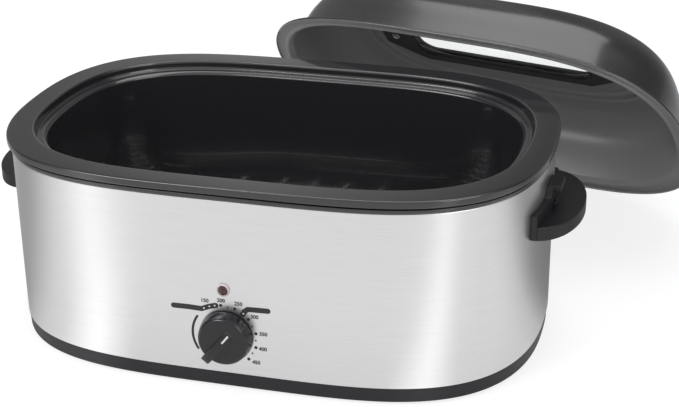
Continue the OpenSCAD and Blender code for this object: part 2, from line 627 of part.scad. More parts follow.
// ---------- lid, drawn as it would lie on the roaster, opening down ----------
la = ax - lid_in;
lb = ay - lid_in;
roof_z = lid_h;
lb_edge = max([for (q = oval(la, lb)) q[1]]);
lid_rest = lb_edge * cos(lid_lean) - 0.4 * sin(lid_lean);
function lid_oval(k) = oval(la - k, lb - k);
// roof outlines run from the shoulder's to one that hugs the window
function roof(s) = oval((la - 62) * (1 - s) + (win_l + 10) * s, (lb - 62) * (1 - s) + (win_w + 8) * s);
ridge_a = [0.08, 0.12, 0.16, 0.20];
ridge_b = [0.29, 0.33, 0.37, 0.41];
module lid_place() {
    translate([lid_x, lid_y, lid_rest]) rotate([0, 0, lid_yaw]) rotate([-90 + lid_lean, 0, 0]) children();
}
lid_rings = [
    // outside
    [lid_oval(0), 0.4],
    [lid_oval(0), 3.2],
    [lid_oval(1), 4],
    [lid_oval(lid_flange - 3), 4],
    [lid_oval(lid_flange), 5.4],
    [lid_oval(lid_flange + 2.5), 8],
    [lid_oval(lid_flange + 5.5), roof_z * 0.3],
    [lid_oval(lid_flange + 9), roof_z * 0.56],
    [lid_oval(lid_flange + 14), roof_z * 0.74],
    [lid_oval(lid_flange + 22), roof_z * 0.88],
    [lid_oval(lid_flange + 33), roof_z * 0.965],
    [roof(0), roof_z + lid_t - 0.6],
    [roof(ridge_a[0]), roof_z + lid_t],
    [roof(ridge_a[1]), roof_z + lid_t + 1.8],
    [roof(ridge_a[2]), roof_z + lid_t + 1.8],
    [roof(ridge_a[3]), roof_z + lid_t],
    [roof(ridge_b[0]), roof_z + lid_t],
    [roof(ridge_b[1]), roof_z + lid_t + 1.8],
    [roof(ridge_b[2]), roof_z + lid_t + 1.8],
    [roof(ridge_b[3]), roof_z + lid_t],
    [roof(1), roof_z + lid_t],
    // inside
    [roof(1), roof_z],
    [roof(ridge_b[3]), roof_z],
    [roof(ridge_b[2]), roof_z + 1.8],
    [roof(ridge_b[1]), roof_z + 1.8],
    [roof(ridge_b[0]), roof_z],
    [roof(ridge_a[3]), roof_z],
    [roof(ridge_a[2]), roof_z + 1.8],
    [roof(ridge_a[1]), roof_z + 1.8],
    [roof(ridge_a[0]), roof_z],
    [roof(0), roof_z - 0.8],
    [lid_oval(lid_flange + 34), roof_z * 0.965 - lid_t],
    [lid_oval(lid_flange + 23), roof_z * 0.88 - lid_t * 0.9],
    [lid_oval(lid_flange + 15.2), roof_z * 0.74 - lid_t * 0.7],
    [lid_oval(lid_flange + 10.2), roof_z * 0.56],
    [lid_oval(lid_flange + 6.7), roof_z * 0.3],
    [lid_oval(lid_flange + 3.7), 7.4],
    [lid_oval(lid_flange + 1), 4.2],
    [lid_oval(lid_flange - 2.4), 2.8],
    [lid_oval(lid_t + 0.6), 2.8],
    [lid_oval(lid_t), 2.2],
    [lid_oval(lid_t), 0.4]];
module lid_shell() color(enamel) lid_place() difference() {
    band(lid_rings);
    // steam slot
    translate([ear_l + 22, 0, roof_z]) rotate([0, 0, 62]) cube([3.4, 15, 30], center = true);
    for (s = [-1, 1]) translate([s * ear_screw, 0, roof_z - 4])
        cylinder(h = 12, r = ear_screw_r + 0.4, $fn = 24);
}
function rrect(l, w, r, n = 8) = [for (q = [[1, 1, 0], [-1, 1, 90], [-1, -1, 180], [1, -1, 270]],
    i = [0 : n])
    let (t = q[2] + 90 * i / n) [q[0] * (l - r) + r * cos(t), q[1] * (w - r) + r * sin(t)]];
frame_top = roof_z - gap;
glass_z = frame_top - glass_t - gap * 2;
module window_glass() color([0.8, 0.85, 0.85, 0.5]) lid_place() translate([0, 0, glass_z])
    linear_extrude(glass_t)
    polygon(rrect(win_l + glass_lap - gap, win_w + glass_lap - gap, win_w * 0.8));
function hexed(l, w, e, lx) = [[l, e], [lx, w], [-lx, w], [-l, e], [-l, -e], [-lx, -w], [lx, -w], [l, -e]];
module window_frame() color(black) lid_place() difference() {
    union() {
        translate([0, 0, glass_z - frame_t]) linear_extrude(frame_top - glass_z + frame_t)
            polygon(hexed(ear_l, frame_w, ear_w, win_l - 2));
        translate([0, 0, glass_z - frame_t - 1.6]) linear_extrude(2) difference() {
            polygon(rrect(win_l + 4, win_w + 4, win_w * 0.7));
            polygon(rrect(win_l, win_w, win_w * 0.6));
        }
    }
    translate([0, 0, glass_z - frame_t - 3]) linear_extrude(20) polygon(rrect(win_l, win_w, win_w * 0.6));
    translate([0, 0, glass_z - gap]) linear_extrude(20)
        polygon(rrect(win_l + glass_lap, win_w + glass_lap, win_w * 0.8));
    for (s = [-1, 1]) translate([s * ear_screw, 0, glass_z - 10]) {
        cylinder(h = 30, r = ear_screw_r + 0.2, $fn = 24);
        cylinder(h = 10 - frame_t + 1.4, r = ear_screw_r * 2 + 1, $fn = 24);
    }
}
ear_base = roof_z + lid_t + gap;
ear_t = 5;
// side view of the arched grip
grip_outline = [[ear_l - 6, 0], [ear_l - 10, ear_t + 5], [win_l + 4, grip_h * 0.62],
    [win_l - 16, grip_h * 0.95], [win_l - 40, grip_h + 1],
    [-win_l + 40, grip_h + 1], [-win_l + 16, grip_h * 0.95], [-win_l - 4, grip_h * 0.62],
        [-ear_l + 10, ear_t + 5], [-ear_l + 6, 0],
    [-win_l - 10, 0], [-win_l + 8, grip_h * 0.62 - 3], [-win_l + 40, grip_h - grip_t],
    [win_l - 40, grip_h - grip_t], [win_l - 8, grip_h * 0.62 - 3], [win_l + 10, 0]];
module lid_handle() color(black) lid_place() translate([0, 0, ear_base]) difference() {
    union() {
        // ring that clamps round the window
        linear_extrude(ear_t) difference() {
            polygon(hexed(ear_l - 1, frame_w - 4, ear_w, win_l + 2));
            polygon(rrect(win_l + 3, win_w + 3, win_w * 0.7));
        }
        // arched grip over the window
        rotate([90, 0, 0]) translate([0, 0, -grip_w / 2]) linear_extrude(grip_w) polygon(grip_outline);
    }
    for (s = [-1, 1]) translate([s * ear_screw, 0, -1]) cylinder(h = 8, r = ear_screw_r + 0.02, $fn = 24);
}
module lid_screws() color(zinc) lid_place() for (s = [-1, 1])
    translate([s * ear_screw, 0, glass_z - frame_t + 1.4 - 2.6])
        screw(ear_screw_r, ear_base + 6 - (glass_z - frame_t + 1.4), ear_screw_r * 1.8, 1.6);
module lid_washers() color(zinc) lid_place() for (s = [-1, 1])
    translate([s * ear_screw, 0, glass_z - frame_t + 1.4 - 0.9]) difference() {
        cylinder(h = 0.8, r = ear_screw_r * 2 + 0.6, $fn = 32);
        translate([0, 0, -1]) cylinder(h = 3, r = ear_screw_r + 0.1, $fn = 24);
    }

// ---------- the whole set's middle ----------
function lid_world(p) = let (c = sin(lid_lean), e = cos(lid_lean),
    y = p[1] * c + p[2] * e, z = p[2] * c - p[1] * e)
    [lid_x + p[0] * cos(lid_yaw) - y * sin(lid_yaw), lid_y + p[0] * sin(lid_yaw) + y * cos(lid_yaw), z];
lid_points = [for (r = lid_rings) each [for (q = r[0]) lid_world([q[0], q[1], r[1]])],
    for (g = grip_outline, t = [-1, 1]) lid_world([g[0], t * grip_w / 2, ear_base + g[1]])];
set_x = [min(-(plate_x + hand_out), min([for (q = lid_points) q[0]])),
    max(plate_x + hand_out, max([for (q = lid_points) q[0]]))];
set_y = [-(knob_back + knob_h + bar_h), max([for (q = lid_points) q[1]])];
module home() translate([-(set_x[0] + set_x[1]) / 2, -(set_y[0] + set_y[1]) / 2, 0]) children();

home() base_ring();
home() floor_plate();
home() rubber_feet();
home() floor_screws();
home() steel_wrap();
home() rim_collar();
home() heated_well();
home() insulation_blanket();
home() heater_bands();
home() heater_clips();
home() thermostat_body();
home() thermostat_bracket();
home() thermostat_bulb();
home() indicator_bezel();
home() indicator_lens();
home() indicator_lamp();
home() left_handle();
home() right_handle();
home() handle_screws();
home() terminal_block();
home() cord_bushing();
home() lead_wires();
home() control_knob();
home() thermostat_shaft();
home() cooking_pan();
home() roasting_rack();
home() lid_shell();
home() window_glass();
home() window_frame();
home() lid_handle();
home() lid_screws();
home() lid_washers();
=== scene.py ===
"""Looks of the electric roaster oven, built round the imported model."""
import math

import bmesh
import bpy
from mathutils import Matrix, Vector


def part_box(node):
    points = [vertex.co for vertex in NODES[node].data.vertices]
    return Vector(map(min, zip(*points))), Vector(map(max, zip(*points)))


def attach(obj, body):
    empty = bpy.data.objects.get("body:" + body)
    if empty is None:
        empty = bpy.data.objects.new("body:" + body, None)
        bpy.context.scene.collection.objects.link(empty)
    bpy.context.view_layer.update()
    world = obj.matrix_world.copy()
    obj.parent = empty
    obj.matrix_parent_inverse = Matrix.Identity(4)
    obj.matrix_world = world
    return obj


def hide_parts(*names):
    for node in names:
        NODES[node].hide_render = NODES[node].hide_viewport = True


bpy.context.scene.view_settings.view_transform = "Standard"
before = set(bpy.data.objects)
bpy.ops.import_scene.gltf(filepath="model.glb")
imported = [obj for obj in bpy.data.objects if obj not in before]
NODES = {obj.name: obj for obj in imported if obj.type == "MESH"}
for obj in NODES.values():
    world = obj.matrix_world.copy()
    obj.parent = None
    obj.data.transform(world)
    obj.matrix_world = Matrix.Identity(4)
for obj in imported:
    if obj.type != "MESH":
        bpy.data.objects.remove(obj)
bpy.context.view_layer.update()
MM = 0.001

# ---------- sizes, in millimetres in the roaster's own frame ----------
pan_low, pan_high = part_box("cooking_pan")
HOME = (pan_low + pan_high) / 2            # middle of the roaster, in metres
AX = (pan_high.x - pan_low.x) / 2 / MM     # half length and half depth of the rim
AY = (pan_high.y - pan_low.y) / 2 / MM
RIM_TOP = pan_high.z / MM
PAN_FLOOR = pan_low.z / MM
SQ_X, SQ_Y = 3.9, 2.45                     # exponents of the oval outline
GAP = 0.3
WRAP_IN, WRAP_T = 4.0, 0.8
WRAP_Z, WRAP_TOP = (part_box("steel_wrap")[i].z / MM for i in (0, 1))
FRONT_IN, END_IN = AY - WRAP_IN, AX - WRAP_IN
PAN_T, RIM_W, STEP_DROP, STEP_W = 1.4, 25.0, 9.0, 8.0
PAN_WALL_IN, PAN_DRAFT, PAN_CORNER = RIM_W + STEP_W, 8.0, 16.0
STEP_Z = RIM_TOP - STEP_DROP
RIM_LIP = 7.0
OUTLINE_N = 240
KNOB_X, KNOB_Z, KNOB_R, KNOB_H = -6.0, 55.0, 25.6, 12.2
BAR_H, BAR_W, BAR_REACH, BAR_BACK, OFF_ANGLE = 6.2, 8.6, 25.6, 13.0, 230.0
KNOB_BACK = FRONT_IN + 0.9
HAND_L, HAND_REACH, HAND_TOP, HAND_BAND, HAND_WALL = 71.0, 33.0, 146.0, 13.5, 3.2
PLATE_X, PLATE_T = END_IN + GAP, 5.4
PLATE_SILL, PLATE_RISE, PLATE_FALL = 1.4, 2.5, 6.0   # over the shelf, over its foot, and slope past the rest
DEE_SUNK, DEE_POWER = 8.0, 0.95            # how far the shelf's outline starts inside the wall, and its bow
REST_LOW, REST_HIGH, REST_TOP, REST_OUT = -25.0, 3.0, 168.5, 12.5   # lid rest on a handle's plate
LID_IN, LID_T, LID_H, LID_FLANGE = 17.0, 1.2, 82.0, 15.0
WIN_L, WIN_W, GLASS_T, GLASS_LAP = 107.0, 27.0, 3.0, 6.0
EAR_L, EAR_W, EAR_SCREW, EAR_T, FRAME_W, FRAME_T = 151.0, 15.0, 135.0, 5.0, 43.0, 2.6
GRIP_H, GRIP_W, GRIP_T = 34.0, 26.0, 8.0
LID_X, LID_Y, LID_YAW, LID_LEAN = 139.0, 289.0, -15.0, 42.0
LA, LB = AX - LID_IN, AY - LID_IN
RACK_BARS, WIRE_R, CROSS_R = 11, 2.4, 1.5
DIAL_X, DIAL_Z, DIAL_R = -7.9, 55.0, 31.0
NUMERAL_SIZE, NUMERAL_BOLD, TAG_HALF = 5.1, 0.17, 2.6


# ---------- outlines ----------
def sgnpow(v, p):
    return math.copysign(abs(v) ** p, v)


def oval(a, b, n=OUTLINE_N):
    points = []
    for i in range(n):
        t = 2 * math.pi * (i + 0.5) / n
        points.append((a * sgnpow(math.cos(t), 2 / SQ_X), b * sgnpow(math.sin(t), 2 / SQ_Y)))
    return points


def wall_y(x):
    """Depth of the wrap's outer face in front of the middle, at x."""
    return FRONT_IN * (1 - (abs(x) / END_IN) ** SQ_X) ** (1 / SQ_Y)


def wall_x(y):
    """Half length of the wrap's outer face, at y."""
    return END_IN * (1 - (abs(y) / FRONT_IN) ** SQ_Y) ** (1 / SQ_X)


def soften(points, radius, steps=3, closed=True):
    """Rounds each corner of a polyline of tuples of any length."""
    out, n = [], len(points)
    for i, here in enumerate(points):
        if not closed and i in (0, n - 1):
            out.append(here)
            continue
        before, after = points[i - 1], points[(i + 1) % n]
        ends = []
        for other in (before, after):
            gap = math.dist(here, other)
            share = min(radius / gap, 0.42) if gap > 1e-9 else 0
            ends.append([h + (o - h) * share for h, o in zip(here, other)])
        for k in range(steps + 1):
            t = k / steps
            out.append(tuple((1 - t) ** 2 * a + 2 * t * (1 - t) * h + t * t * b
                             for a, h, b in zip(ends[0], here, ends[1])))
    return out


def smooth(points, steps=4):
    """An open polyline bent into a curve through its own points."""
    out, last = [], len(points) - 1
    for i in range(last):
        p0, p1, p2, p3 = (points[min(max(i + k, 0), last)] for k in (-1, 0, 1, 2))
        for k in range(steps):
            t = k / steps
            out.append(tuple(0.5 * (2 * b + (c - a) * t + (2 * a - 5 * b + 4 * c - d) * t * t
                                    + (3 * b - a - 3 * c + d) * t ** 3)
                             for a, b, c, d in zip(p0, p1, p2, p3)))
    return out + [points[-1]]


def rrect(l, w, r, n=10):
    """A rectangle of half sizes l and w with corners rounded by r."""
    points = []
    for sx, sy, start in ((1, 1, 0), (-1, 1, 90), (-1, -1, 180), (1, -1, 270)):
        for i in range(n + 1):
            t = math.radians(start + 90 * i / n)
            points.append((sx * (l - r) + r * math.cos(t), sy * (w - r) + r * math.sin(t)))
    return points


def hexed(l, w, e, lx):
    """The window frame's outline: half length l, half width w, its ears narrowing from lx to e."""
    return [(l, e), (lx, w), (-lx, w), (-l, e), (-l, -e), (-lx, -w), (lx, -w), (l, -e)]


# ---------- meshes ----------
def place(p):
    """A point in millimetres in the roaster's frame, in metres in the row frame."""
    return Vector((p[0] * MM + HOME.x, p[1] * MM + HOME.y, p[2] * MM))


def make(name, verts, faces, body, smooth=True):
    mesh = bpy.data.meshes.new(name)
    mesh.from_pydata([place(v) for v in verts], [], faces)
    mesh.validate()
    bm = bmesh.new()
    bm.from_mesh(mesh)
    bmesh.ops.remove_doubles(bm, verts=bm.verts, dist=1e-6)
    bmesh.ops.recalc_face_normals(bm, faces=bm.faces)
    bm.to_mesh(mesh)
    bm.free()
    mesh.polygons.foreach_set("use_smooth", [smooth] * len(mesh.polygons))
    obj = bpy.data.objects.new(name, mesh)
    bpy.context.scene.collection.objects.link(obj)
    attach(obj, body)
    return obj


def bevel(obj, width, segments=3, angle=32):
    mod = obj.modifiers.new("edge", "BEVEL")
    mod.width = width * MM
    mod.segments = segments
    mod.limit_method = "ANGLE"
    mod.angle_limit = math.radians(angle)
    mod.harden_normals = True


def cut(obj, *cutters):
    """Takes the cutters out of obj, then deletes them."""
    for cutter in cutters:
        mod = obj.modifiers.new("cut", "BOOLEAN")
        mod.object = cutter
        mod.solver = "EXACT"
    dg = bpy.context.evaluated_depsgraph_get()
    mesh = bpy.data.meshes.new_from_object(obj.evaluated_get(dg))
    obj.modifiers.clear()
    obj.data = mesh
    for cutter in cutters:
        bpy.data.objects.remove(cutter)


def ring_faces(rows, n, closed):
    last = rows if closed else rows - 1
    return [(j * n + i, j * n + (i + 1) % n, ((j + 1) % rows) * n + (i + 1) % n, ((j + 1) % rows) * n + i)
            for j in range(last) for i in range(n)]


def sweep(name, rings, body, closed=True, shift=lambda p: p):
    """Lofts (half length, half width, height) rings of the oval outline."""
    verts = [shift((x, y, z)) for a, b, z in rings for x, y in oval(a, b)]
    faces = ring_faces(len(rings), OUTLINE_N, closed)
    if not closed:
        faces.append(tuple(range(OUTLINE_N)))
        faces.append(tuple(range((len(rings) - 1) * OUTLINE_N, len(rings) * OUTLINE_N)))
    return make(name, verts, faces, body)


def inset(profile):
    """(distance in from the rim, height) pairs as rings for sweep."""
    return [(AX - k, AY - k, z) for k, z in profile]


def prism(name, outline, low, high, body, shift=lambda p: p):
    n = len(outline)
    verts = [shift((x, y, z)) for z in (low, high) for x, y in outline]
    faces = ring_faces(2, n, False) + [tuple(range(n)), tuple(range(n, 2 * n))]
    return make(name, verts, faces, body)


def revolve(name, profile, body, shift, n=96):
    verts = [shift((r * math.cos(2 * math.pi * i / n), r * math.sin(2 * math.pi * i / n), h))
             for r, h in profile for i in range(n)]
    faces = ring_faces(len(profile), n, False)
    return make(name, verts, faces, body)


def tube(points, r, n=12, closed=False):
    """Vertices and faces of a round wire along points, in millimetres."""
    pts = [Vector(p) for p in points]
    m, verts, side = len(pts), [], None
    for i, p in enumerate(pts):
        a = pts[i - 1] if closed or i else p
        b = pts[(i + 1) % m] if closed or i < m - 1 else p
        d = (b - a).normalized()
        if side is None:
            side = d.cross(Vector((0, 0, 1)) if abs(d.z) < 0.9 else Vector((1, 0, 0))).normalized()
        side = (side - d * side.dot(d)).normalized()
        up = d.cross(side)
        verts += [tuple(p + (side * math.cos(2 * math.pi * k / n) + up * math.sin(2 * math.pi * k / n)) * r)
                  for k in range(n)]
    faces = ring_faces(m, n, closed)
    if not closed:
        faces += [tuple(range(n)), tuple(range((m - 1) * n, m * n))]
    return verts, faces


def join(parts):
    verts, faces = [], []
    for v, f in parts:
        faces += [tuple(i + len(verts) for i in face) for face in f]
        verts += v
    return verts, faces


# ---------- materials ----------
BUMP_DEPTH = 0.0004                        # in metres


def shader(name, color, roughness, metallic=0.0, noise=0.0, scale=60.0, stretch=(1, 1, 1),
           bump=0.0, rough_vary=0.0, **sockets):
    """A Principled material with noise in its colour, roughness and bump, in object space."""
    mat = bpy.data.materials.new(name)
    mat.use_nodes = True
    nodes, links = mat.node_tree.nodes, mat.node_tree.links
    bsdf = nodes["Principled BSDF"]
    bsdf.inputs["Metallic"].default_value = metallic
    bsdf.inputs["Roughness"].default_value = roughness
    for key, value in sockets.items():
        bsdf.inputs[key.replace("_", " ")].default_value = value
    coord = nodes.new("ShaderNodeTexCoord")
    mapping = nodes.new("ShaderNodeMapping")
    mapping.inputs["Scale"].default_value = stretch
    links.new(coord.outputs["Object"], mapping.inputs["Vector"])
    tex = nodes.new("ShaderNodeTexNoise")
    tex.inputs["Scale"].default_value = scale
    tex.inputs["Detail"].default_value = 4
    links.new(mapping.outputs["Vector"], tex.inputs["Vector"])
    ramp = nodes.new("ShaderNodeValToRGB")
    ramp.color_ramp.elements[0].position = 0.3
    ramp.color_ramp.elements[1].position = 0.7
    ramp.color_ramp.elements[0].color = [c * (1 - noise) for c in color] + [1]
    ramp.color_ramp.elements[1].color = [min(c * (1 + noise), 1) for c in color] + [1]
    links.new(tex.outputs["Fac"], ramp.inputs["Fac"])
    links.new(ramp.outputs["Color"], bsdf.inputs["Base Color"])
    if rough_vary:
        span = nodes.new("ShaderNodeMapRange")
        span.inputs["To Min"].default_value = max(roughness - rough_vary, 0.02)
        span.inputs["To Max"].default_value = roughness + rough_vary
        links.new(tex.outputs["Fac"], span.inputs["Value"])
        links.new(span.outputs["Result"], bsdf.inputs["Roughness"])
    if bump:
        relief = nodes.new("ShaderNodeBump")
        relief.inputs["Strength"].default_value = bump
        relief.inputs["Distance"].default_value = BUMP_DEPTH
        links.new(tex.outputs["Fac"], relief.inputs["Height"])
        links.new(relief.outputs["Normal"], bsdf.inputs["Normal"])
    return mat


MAT = {
    "steel": shader("brushed_steel", (0.63, 0.63, 0.635), 0.29, 1.0, noise=0.035, scale=26,
                    stretch=(1, 1, 60), bump=0.05, rough_vary=0.03),
    "enamel": shader("charcoal_enamel", (0.018, 0.018, 0.02), 0.15, noise=0.15, scale=900, bump=0.03,
                     rough_vary=0.03, Coat_Weight=0.5, Coat_Roughness=0.05),
    "lid_out": shader("lid_enamel_outside", (0.028, 0.028, 0.03), 0.22, noise=0.12, scale=700, bump=0.03,
                      rough_vary=0.04, Coat_Weight=0.3, Coat_Roughness=0.1),
    "lid_in": shader("lid_enamel_inside", (0.36, 0.36, 0.365), 0.3, noise=0.06, scale=500, bump=0.04,
                     rough_vary=0.05, Coat_Weight=0.15, Coat_Roughness=0.2),
    "plastic": shader("black_phenolic", (0.012, 0.012, 0.014), 0.4, noise=0.2, scale=1600, bump=0.08,
                      rough_vary=0.06, Specular_IOR_Level=0.35),
    "base": shader("base_plastic", (0.02, 0.02, 0.023), 0.5, noise=0.12, scale=1400, bump=0.1,
                   rough_vary=0.05, Specular_IOR_Level=0.3),
    "knob": shader("knob_phenolic", (0.015, 0.015, 0.018), 0.2, noise=0.15, scale=1500, bump=0.04,
                   rough_vary=0.05, Specular_IOR_Level=0.4),
    "zinc": shader("aluminised_sheet", (0.62, 0.63, 0.64), 0.38, 1.0, noise=0.1, scale=120, bump=0.05,
                   rough_vary=0.08),
    "screw": shader("plated_screw", (0.66, 0.66, 0.67), 0.25, 1.0, noise=0.05, scale=800, bump=0.04,
                    rough_vary=0.05),
    "rubber": shader("foot_rubber", (0.03, 0.03, 0.03), 0.8, noise=0.2, scale=1200, bump=0.15,
                     rough_vary=0.06),
    "wool": shader("glass_wool", (0.78, 0.72, 0.5), 0.95, noise=0.15, scale=300, stretch=(1, 1, 4), bump=0.5),
    "mica": shader("mica_band", (0.4, 0.34, 0.27), 0.7, noise=0.25, scale=200, bump=0.15),
    "cream": shader("cream_ceramic", (0.82, 0.78, 0.68), 0.6, noise=0.05, scale=400, bump=0.08),
    "copper": shader("copper_capillary", (0.8, 0.45, 0.3), 0.3, 1.0, noise=0.1, scale=300, bump=0.03),
    "bezel": shader("pale_bezel", (0.8, 0.7, 0.7), 0.3, noise=0.04, scale=900, bump=0.02),
    "red": shader("red_lens", (0.045, 0.006, 0.009), 0.2, noise=0.3, scale=900, bump=0.12, Coat_Weight=0.3),
    "neon": shader("lamp_glass", (0.85, 0.5, 0.3), 0.15, noise=0.1, scale=500, Transmission_Weight=0.5),
    "sleeve": shader("silicone_sleeve", (0.45, 0.05, 0.04), 0.6, noise=0.1, scale=700, bump=0.1),
    "chrome": shader("rack_chrome", (0.78, 0.78, 0.79), 0.12, 1.0, noise=0.04, scale=300, bump=0.02,
                     rough_vary=0.04),
    "glass": shader("window_glass", (0.97, 0.985, 0.98), 0.02, noise=0.01, scale=40, Transmission_Weight=1.0,
                    IOR=1.45),
    "ink": shader("dial_ink", (0.012, 0.012, 0.013), 0.5, noise=0.2, scale=2500, bump=0.02),
    "white": shader("white_ink", (0.82, 0.82, 0.82), 0.5, noise=0.04, scale=2500, bump=0.02),
}
CAD_FINISH = {
    "floor_plate": "zinc", "rubber_feet": "rubber", "floor_screws": "screw", "insulation_blanket": "wool",
    "heater_bands": "mica", "heater_clips": "zinc", "thermostat_body": "cream", "thermostat_bracket": "zinc",
    "thermostat_bulb": "copper", "indicator_bezel": "bezel", "indicator_lens": "red",
    "indicator_lamp": "neon",
    "handle_screws": "screw", "terminal_block": "cream", "cord_bushing": "plastic", "lead_wires": "sleeve",
    "thermostat_shaft": "screw", "lid_screws": "screw", "lid_washers": "screw", "window_glass": "glass",
}
for node, finish in CAD_FINISH.items():
    NODES[node].data.materials.clear()
    NODES[node].data.materials.append(MAT[finish])


def dress(obj, finish, slot, *replaced):
    obj.data.materials.clear()
    obj.data.materials.append(MAT[finish])
    if replaced:
        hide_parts(*replaced)


# ---------- body ----------
def body_pieces():
    skin = sweep("wrap_skin", inset(soften([
        (WRAP_IN, WRAP_Z), (WRAP_IN, WRAP_TOP - 0.6), (WRAP_IN + 0.25, WRAP_TOP),
        (WRAP_IN + WRAP_T, WRAP_TOP),
        (WRAP_IN + WRAP_T, WRAP_Z)], 0.12, 2)), "roaster")
    dress(skin, "steel", "wrap_steel", "steel_wrap")
    c = RIM_TOP - PAN_T - GAP
    collar = sweep("collar_enamelled", inset(soften([
        (WRAP_IN + WRAP_T + GAP, WRAP_TOP - 6), (WRAP_IN + WRAP_T + GAP, WRAP_TOP + GAP),
        (WRAP_IN - 0.6, WRAP_TOP + GAP), (WRAP_IN - 1.2, WRAP_TOP + 2), (WRAP_IN - 1.2, WRAP_TOP + 4.4),
        (WRAP_IN + 0.6, WRAP_TOP + 5.2), (WRAP_IN + 0.6, RIM_TOP - RIM_LIP - 1.8),
        (PAN_T + 1, RIM_TOP - RIM_LIP - 0.9), (PAN_T + 1, c - 0.8), (PAN_T + 2, c), (PAN_T + 7, c),
        (PAN_T + 7, c - 2), (WRAP_IN + WRAP_T + 6, c - 4), (WRAP_IN + WRAP_T + 3, c - 7),
        (WRAP_IN + WRAP_T + 3, WRAP_TOP - 6)], 0.5)), "roaster")
    dress(collar, "enamel", "collar_enamel", "rim_collar")
    base_in, tuck, wall, tongue, ledge = WRAP_IN + 0.3, 2.2, 4.9, WRAP_IN + WRAP_T + GAP, 8.3
    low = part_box("base_ring")[0].z / MM - 1.0
    base = sweep("base_skirt", inset(soften([
        (base_in + tuck + 1.4, low), (base_in + tuck - 1.2, low + 0.9), (base_in + tuck * 0.45, low + 5),
        (base_in + 0.3, WRAP_Z - 4), (base_in, WRAP_Z - GAP), (tongue, WRAP_Z - GAP), (tongue, WRAP_Z + 7),
        (tongue + wall * 0.7, WRAP_Z + 7), (tongue + wall, WRAP_Z), (tongue + wall + 1.5, ledge + 2.4),
        (base_in + 22, ledge + 2.4), (base_in + 22, ledge), (base_in + tuck + wall + 1, ledge),
        (base_in + tuck + wall + 1, low)], 0.7)), "roaster")
    dress(base, "base", "black_plastic", "base_ring")
    well_in, well_t, floor = 31.0, 0.8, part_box("heated_well")[0].z / MM
    top = STEP_Z - PAN_T - 2
    well = sweep("well_sheet", inset(soften([
        (AY - 4, floor), (well_in + 10, floor), (well_in + 3, floor + 2.5), (well_in, floor + 9),
        (well_in, top - well_t), (WRAP_IN + WRAP_T + 3 + GAP, top - well_t),
        (WRAP_IN + WRAP_T + 3 + GAP, top),
        (well_in + well_t, top), (well_in + well_t, floor + 9.5),
        (well_in + well_t + 3, floor + well_t + 2.5),
        (well_in + well_t + 10, floor + well_t), (AY - 4, floor + well_t)], 2.0, closed=False)),
        "roaster", closed=False)
    dress(well, "zinc", "zinc_steel", "heated_well")


# ---------- pan and rack ----------
def pan_k(z):
    """How far in from the rim the pan's drafted wall is, at z."""
    return PAN_WALL_IN + PAN_DRAFT * (STEP_Z - z) / (STEP_Z - PAN_FLOOR)


def pan_pieces():
    f, c, t, r, w = PAN_FLOOR, PAN_CORNER, PAN_T, RIM_TOP, RIM_W
    k0 = pan_k(f)
    profile = [
        (AY - 4, f), (k0 + c, f), (k0 + c * 0.45, f + c * 0.16), (k0 + c * 0.12, f + c * 0.5),
        (pan_k(f + c), f + c), (PAN_WALL_IN + 1, STEP_Z - t - 2.5), (PAN_WALL_IN - 1, STEP_Z - t),
        (w + 0.8, STEP_Z - t), (w - t + 0.6, STEP_Z - t + 2), (w - t, r - t - 1.4), (w - t - 1.2, r - t),
        (t + 0.8, r - t), (t, r - t - 0.8), (t, r - RIM_LIP), (0.5, r - RIM_LIP), (0, r - RIM_LIP + 0.8),
        (0, r - 1.6), (0.5, r - 0.5), (1.6, r), (w - 1.6, r), (w - 0.4, r - 0.6), (w, r - 2),
        (w + 0.6, STEP_Z + 1.8), (w + 1.6, STEP_Z), (PAN_WALL_IN - 0.4, STEP_Z),
        (PAN_WALL_IN + 1 + t, STEP_Z - 2.5), (pan_k(f + c) + t, f + c),
        (k0 + c * 0.12 + t, f + c * 0.55), (k0 + c * 0.45 + t * 0.6, f + c * 0.16 + t), (k0 + c, f + t),
        (AY - 4, f + t)]
    pan = sweep("pan_enamelled", inset(soften(profile, 1.0, closed=False)), "pan", closed=False)
    dress(pan, "enamel", "pan_enamel", "cooking_pan")
    k = k0 + 24
    z = PAN_FLOOR + PAN_T + GAP + WIRE_R + 12
    rx, ry = AX - k, AY - k
    parts = [tube([(x, y, z) for x, y in oval(rx, ry, 120)], WIRE_R, closed=True)]
    for i in range(RACK_BARS):
        x = rx * 0.9 * (2 * i / (RACK_BARS - 1) - 1)
        edge = ry * (1 - (abs(x) / rx) ** SQ_X) ** (1 / SQ_Y)
        parts.append(tube([(x, -edge, z + WIRE_R * 0.4), (x, edge, z + WIRE_R * 0.4)], CROSS_R))
    for s in (-1, 1):
        parts.append(tube([(-rx * 0.985, s * 44, z - CROSS_R * 0.9), (rx * 0.985, s * 44, z - CROSS_R * 0.9)],
                          CROSS_R))
        for t in (-1, 1):
            x = s * rx * 0.54
            y = t * ry * (1 - 0.54 ** SQ_X) ** (1 / SQ_Y)
            parts.append(tube([(x, y, z - 12 - WIRE_R), (x, y, z)], WIRE_R * 0.8))
        half, h = 42.0, 66.0
        x = s * rx * (1 - (half / ry) ** SQ_Y) ** (1 / SQ_X)
        loop = [(x, -half, z), (x, -half, z + h * 0.7), (x, -half + 6, z + h * 0.93), (x, -half + 18, z + h),
                (x, half - 18, z + h), (x, half - 6, z + h * 0.93), (x, half, z + h * 0.7), (x, half, z)]
        parts.append(tube(soften(loop, 7, 5, closed=False), WIRE_R))
    verts, faces = join(parts)
    rack = make("rack_wires", verts, faces, "rack")
    dress(rack, "chrome", "rack_chrome", "roasting_rack")


